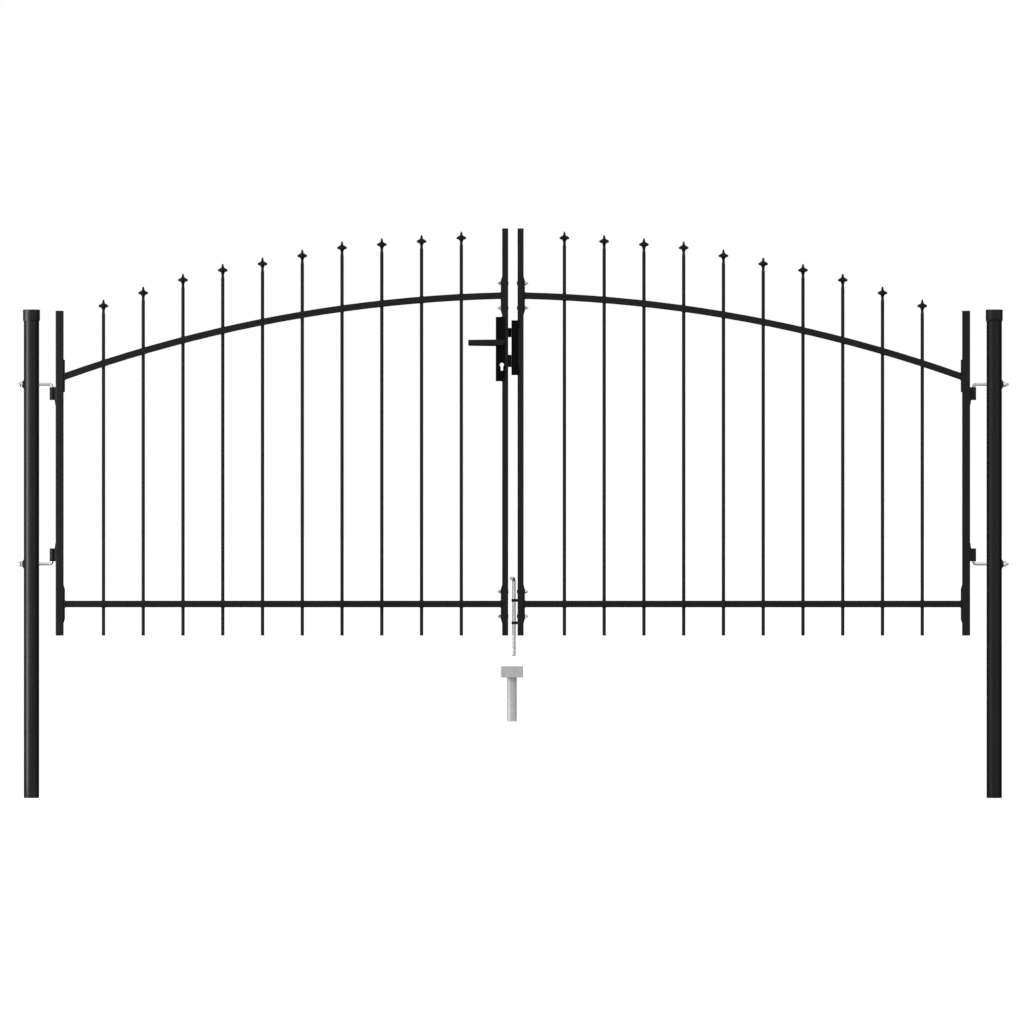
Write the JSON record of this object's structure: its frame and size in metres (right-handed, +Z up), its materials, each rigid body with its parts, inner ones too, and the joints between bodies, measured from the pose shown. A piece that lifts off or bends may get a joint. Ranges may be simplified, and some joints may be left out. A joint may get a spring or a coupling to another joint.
{
  "type": "double-leaf driveway gate",
  "caption": "Arched steel-tube driveway gate with spear-topped bars, hung as two leaves on full-length round posts, with a lever lock, a keeper, a drop rod and its ground socket.",
  "frame": {"origin": "centre of the left post's foot, on its flat end face", "axes": "+X from the left post to the right post, +Y away from the street, the way that both leaves open, +Z up along the posts"},
  "size_m": [4.055, 0.128, 2.329],
  "materials": {
    "frame_coat": "satin black powder coat",
    "lock_coat": "deep black coat",
    "lever_coat": "black satin coat",
    "cap_plastic": "moulded black plastic",
    "zinc": "bright zinc plate",
    "galvanised": "dull galvanised sheet",
    "bolt_steel": "blackened steel"
  },
  "bodies": {
    "posts": {"left_post": "frame_coat", "left_post_cap": "cap_plastic", "left_post_plug": "cap_plastic", "left_hinge_hooks": "zinc", "left_hook_saddles": "frame_coat", "left_hook_nuts": "zinc", "right_post": "frame_coat", "right_post_cap": "cap_plastic", "right_post_plug": "cap_plastic", "right_hinge_hooks": "zinc", "right_hook_saddles": "frame_coat", "right_hook_nuts": "zinc", "ground_socket": "galvanised"},
    "left_leaf": {"left_hinge_stile": "frame_coat", "left_meeting_stile": "frame_coat", "left_stile_plugs": "cap_plastic", "left_arch_rail": "frame_coat", "left_bottom_rail": "frame_coat", "left_bars": "frame_coat", "left_spear_tips": "frame_coat", "left_end_plates": "frame_coat", "left_hinge_knuckles": "frame_coat", "lock_case": "lock_coat", "lock_covers": "lock_coat"},
    "right_leaf": {"right_hinge_stile": "frame_coat", "right_meeting_stile": "frame_coat", "right_stile_plugs": "cap_plastic", "right_arch_rail": "frame_coat", "right_bottom_rail": "frame_coat", "right_bars": "frame_coat", "right_spear_tips": "frame_coat", "right_end_plates": "frame_coat", "right_hinge_knuckles": "frame_coat", "keeper": "lock_coat", "drop_rod_guides": "frame_coat"},
    "lever": {"lever_spindle": "zinc", "front_lever": "lever_coat", "back_lever": "lever_coat"},
    "latch": {"latch_bolt": "bolt_steel"},
    "deadlock": {"dead_bolt": "bolt_steel"},
    "ground_bolt": {"drop_rod": "zinc"}
  },
  "joints": [
    {"name": "left_leaf_hinge", "type": "hinge", "parent": "posts", "child": "left_leaf", "pos_m": [0.084, 0, 1.3], "axis": [0, 0, 1], "range_deg": [0, 100]},
    {"name": "right_leaf_hinge", "type": "hinge", "parent": "posts", "child": "right_leaf", "pos_m": [3.853, 0, 1.3], "axis": [0, 0, -1], "range_deg": [0, 100]},
    {"name": "lever_turn", "type": "hinge", "parent": "left_leaf", "child": "lever", "pos_m": [1.9235, 0, 1.861], "axis": [0, -1, 0], "range_deg": [0, 40], "stiffness_Nm_per_rad": 2, "springref_deg": -28.65},
    {"name": "latch_slide", "type": "slide", "parent": "left_leaf", "child": "latch", "axis": [-1, 0, 0], "range_m": [0, 0.012]},
    {"name": "dead_bolt_slide", "type": "slide", "parent": "left_leaf", "child": "deadlock", "axis": [-1, 0, 0], "range_m": [0, 0.013]},
    {"name": "drop_rod_slide", "type": "slide", "parent": "right_leaf", "child": "ground_bolt", "axis": [0, 0, -1], "range_m": [0, 0.07]}
  ],
  "couplings": [
    {"joint": "latch_slide", "follows": "lever_turn", "m_per_rad": 0.0171}
  ]
}
